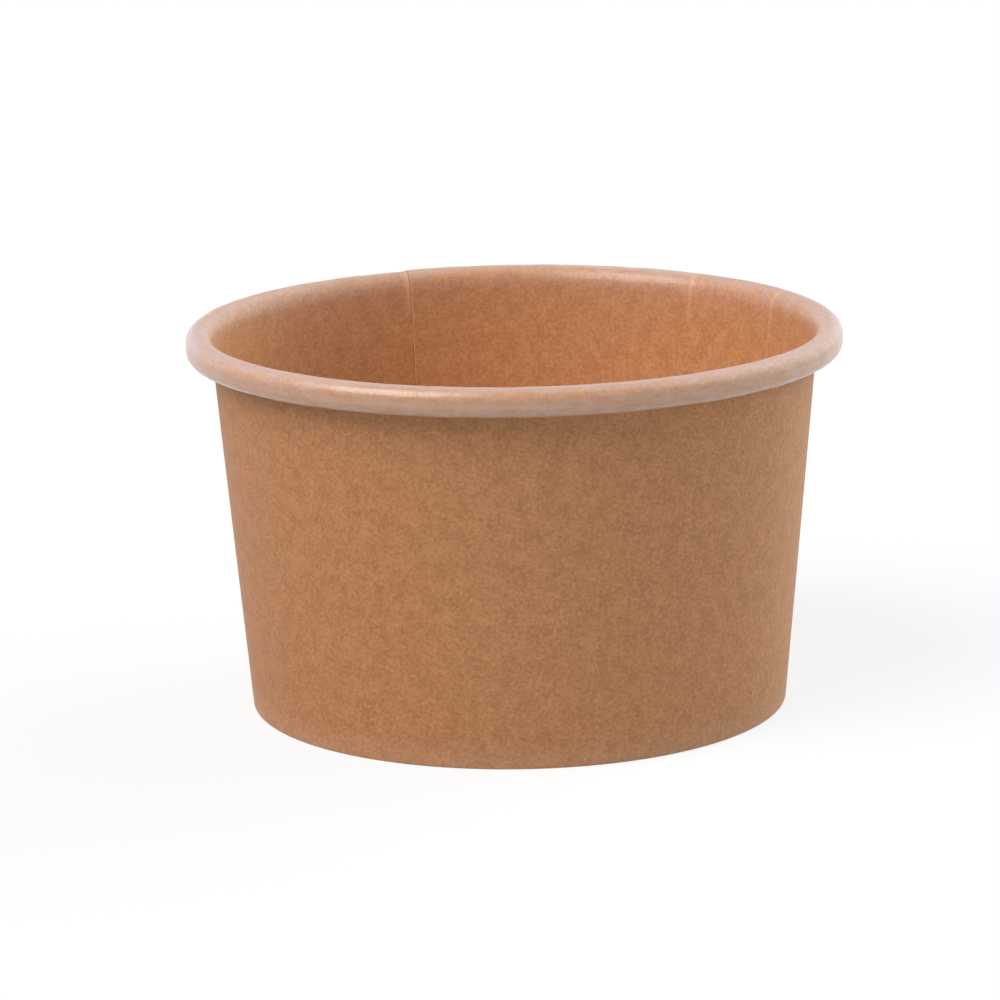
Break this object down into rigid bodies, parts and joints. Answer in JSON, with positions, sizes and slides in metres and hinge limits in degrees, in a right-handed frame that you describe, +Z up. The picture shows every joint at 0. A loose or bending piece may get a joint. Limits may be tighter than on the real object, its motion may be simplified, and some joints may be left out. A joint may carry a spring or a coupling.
{
  "type": "paper ice cream tub",
  "caption": "Round tapered kraft paper tub with a lapped side seam, an outward rolled rim and a recessed base held in a folded hem; holds ice cream and takes a press-on lid.",
  "frame": {"origin": "centre of the foot ring, on the surface that the tub stands on", "axes": "+Z up along the tub's axis, towards the open rim; the side seam stands at 111 degrees from +X towards +Y"},
  "size_m": [0.0902, 0.09, 0.053],
  "materials": {
    "kraft_sidewall": "uncoated brown kraft board outside, thin clear film on the inside and over the rolled rim",
    "kraft_base": "brown kraft board with a thin clear film on its upper face"
  },
  "bodies": {
    "root": {"sidewall": "kraft_sidewall", "base": "kraft_base"}
  },
  "joints": []
}
